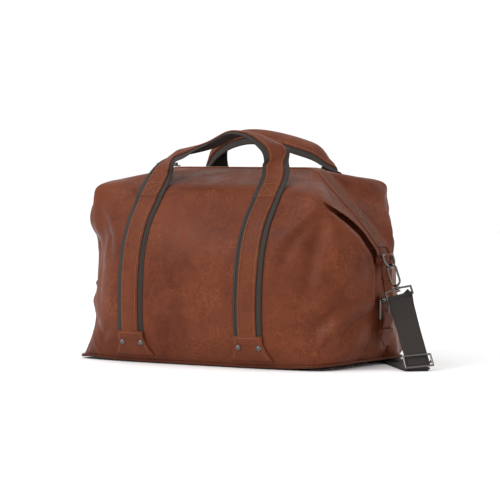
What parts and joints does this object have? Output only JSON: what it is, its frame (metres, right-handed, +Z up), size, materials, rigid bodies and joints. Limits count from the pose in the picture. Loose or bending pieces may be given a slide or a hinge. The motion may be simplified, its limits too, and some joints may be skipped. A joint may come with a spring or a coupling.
{
  "type": "weekender bag",
  "caption": "Soft leather weekender bag with folded-in top corners, top zip, webbing handles run down to the base, end belts and clip-on shoulder strap",
  "frame": {"origin": "centre of the base, on the floor", "axes": "+X along the bag's length towards the end with the strap's adjuster, -Y out of the front face, +Z up"},
  "size_m": [0.6892, 0.3647, 0.3704],
  "materials": {
    "body_leather": "satin",
    "base_leather": "satin",
    "trim_leather": "satin",
    "belt_leather": "satin",
    "handle_webbing": "matte",
    "strap_webbing": "matte",
    "zip_tape": "matte",
    "zip_metal": "dark nickel",
    "gunmetal": "dark polished nickel",
    "lining": "matte",
    "board": "matte"
  },
  "bodies": {
    "root": {"front_panel": "body_leather", "back_panel": "body_leather", "left_end_panel": "body_leather", "right_end_panel": "body_leather", "base_panel": "base_leather", "base_board": "board", "lining": "lining", "base_piping": "base_leather", "zip_tape_front": "zip_tape", "zip_tape_back": "zip_tape", "zip_chain": "zip_metal", "front_left_strip": "handle_webbing", "front_right_strip": "handle_webbing", "rear_left_strip": "handle_webbing", "rear_right_strip": "handle_webbing", "front_left_overlay": "trim_leather", "front_right_overlay": "trim_leather", "rear_left_overlay": "trim_leather", "rear_right_overlay": "trim_leather", "front_left_patch": "trim_leather", "front_right_patch": "trim_leather", "rear_left_patch": "trim_leather", "rear_right_patch": "trim_leather", "rivets": "gunmetal", "left_ring_tab": "belt_leather", "right_ring_tab": "belt_leather", "left_belt_anchor": "belt_leather", "right_belt_anchor": "belt_leather", "left_belt": "belt_leather", "right_belt": "belt_leather", "left_belt_keeper": "belt_leather", "right_belt_keeper": "belt_leather", "left_buckle_frame": "gunmetal", "right_buckle_frame": "gunmetal", "shoulder_strap": "strap_webbing", "left_strap_drop": "strap_webbing", "right_strap_drop": "strap_webbing"},
    "zip_slider": {"zip_slider": "zip_metal"},
    "zip_pull": {"zip_pull": "zip_metal"},
    "front_handle": {"front_handle_webbing": "handle_webbing", "front_handle_leather": "trim_leather"},
    "rear_handle": {"rear_handle_webbing": "handle_webbing", "rear_handle_leather": "trim_leather"},
    "strap_slider": {"strap_slider": "gunmetal"},
    "left_ring": {"left_dring": "gunmetal", "left_hook_bow": "gunmetal"},
    "left_hook": {"left_hook": "gunmetal"},
    "left_gate": {"left_hook_gate": "gunmetal"},
    "left_roller": {"left_buckle_roller": "gunmetal"},
    "left_prong": {"left_buckle_prong": "gunmetal"},
    "right_ring": {"right_dring": "gunmetal", "right_hook_bow": "gunmetal"},
    "right_hook": {"right_hook": "gunmetal"},
    "right_gate": {"right_hook_gate": "gunmetal"},
    "right_roller": {"right_buckle_roller": "gunmetal"},
    "right_prong": {"right_buckle_prong": "gunmetal"}
  },
  "joints": [
    {"name": "zip_travel", "type": "slide", "parent": "root", "child": "zip_slider", "axis": [1, 0, 0], "range_m": [0, 0.27]},
    {"name": "zip_pull_flip", "type": "hinge", "parent": "zip_slider", "child": "zip_pull", "pos_m": [-0.138, 0, 0.3162], "axis": [0, 1, 0], "range_deg": [0, 165]},
    {"name": "front_handle_swing", "type": "hinge", "parent": "root", "child": "front_handle", "pos_m": [0, -0.076, 0.292], "axis": [1, 0, 0], "range_deg": [-12, 90]},
    {"name": "rear_handle_swing", "type": "hinge", "parent": "root", "child": "rear_handle", "pos_m": [0, 0.076, 0.292], "axis": [-1, 0, 0], "range_deg": [-12, 90]},
    {"name": "left_ring_swing", "type": "hinge", "parent": "root", "child": "left_ring", "pos_m": [-0.268, 0, 0.176], "axis": [0, 1, 0], "range_deg": [-4, 30], "deforming": ["left_strap_drop"]},
    {"name": "left_hook_swivel", "type": "hinge", "parent": "left_ring", "child": "left_hook", "pos_m": [-0.2851, 0, 0.12901], "axis": [-0.342, 0, -0.9397], "range_deg": [-20, 20]},
    {"name": "left_gate_press", "type": "hinge", "parent": "left_hook", "child": "left_gate", "pos_m": [-0.27492, 0, 0.13361], "axis": [0, -1, 0], "range_deg": [0, 18], "stiffness_Nm_per_rad": 0.02, "springref_deg": -17.19},
    {"name": "left_roller_spin", "type": "hinge", "parent": "root", "child": "left_roller", "pos_m": [-0.2662, 0, 0.105], "axis": [0, 1, 0], "continuous": true},
    {"name": "left_prong_lift", "type": "hinge", "parent": "root", "child": "left_prong", "pos_m": [-0.2662, 0, 0.077], "axis": [0, -1, 0], "range_deg": [0, 60]},
    {"name": "right_ring_swing", "type": "hinge", "parent": "root", "child": "right_ring", "pos_m": [0.268, 0, 0.176], "axis": [0, -1, 0], "range_deg": [-4, 30], "deforming": ["right_strap_drop"]},
    {"name": "right_hook_swivel", "type": "hinge", "parent": "right_ring", "child": "right_hook", "pos_m": [0.2851, 0, 0.12901], "axis": [0.342, 0, -0.9397], "range_deg": [-20, 20]},
    {"name": "right_gate_press", "type": "hinge", "parent": "right_hook", "child": "right_gate", "pos_m": [0.27492, 0, 0.13361], "axis": [0, 1, 0], "range_deg": [0, 18], "stiffness_Nm_per_rad": 0.02, "springref_deg": -17.19},
    {"name": "right_roller_spin", "type": "hinge", "parent": "root", "child": "right_roller", "pos_m": [0.2662, 0, 0.105], "axis": [0, 1, 0], "continuous": true},
    {"name": "right_prong_lift", "type": "hinge", "parent": "root", "child": "right_prong", "pos_m": [0.2662, 0, 0.077], "axis": [0, 1, 0], "range_deg": [0, 60]},
    {"name": "strap_slider_travel", "type": "slide", "parent": "root", "child": "strap_slider", "axis": [-0.4644, 0.3187, 0.8263], "range_m": [0, 0.05]}
  ]
}
